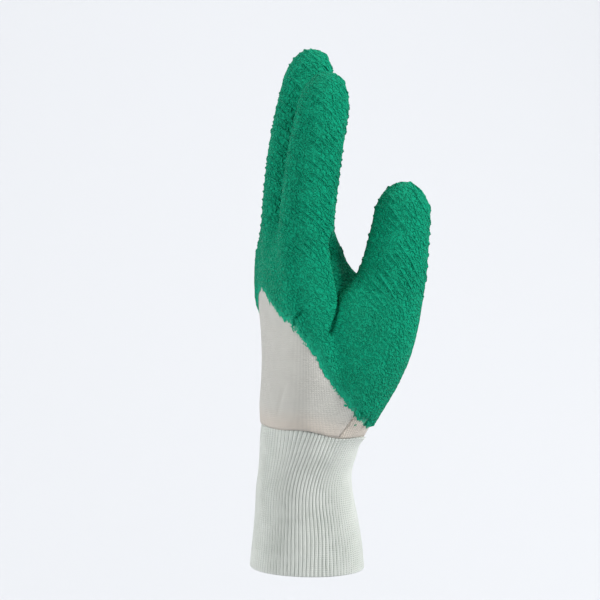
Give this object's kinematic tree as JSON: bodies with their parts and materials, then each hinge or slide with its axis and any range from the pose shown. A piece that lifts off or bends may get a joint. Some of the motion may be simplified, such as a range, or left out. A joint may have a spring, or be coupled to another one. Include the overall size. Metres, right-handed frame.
{
  "type": "protective work glove",
  "caption": "Left-hand knitted work glove with crinkled latex over palm, thumb and fingers, bare knit back and ribbed wrist, held in its worn form.",
  "frame": {"origin": "middle of the wrist opening, in the plane of the hem", "axes": "+X out of the palm, -Y towards the thumb side, +Y towards the little finger, +Z from the wrist to the fingertips"},
  "size_m": [0.0823, 0.1121, 0.2626],
  "materials": {
    "cotton": "undyed cotton jersey, matt",
    "latex": "green natural latex, crinkled, satin",
    "rib_knit": "pale rib knit, matt"
  },
  "bodies": {
    "root": {"liner_palm": "cotton", "liner_forefinger": "cotton", "liner_middle_finger": "cotton", "liner_ring_finger": "cotton", "liner_little_finger": "cotton", "liner_thumb": "cotton", "latex_coating": "latex", "knit_cuff": "rib_knit"}
  },
  "joints": []
}
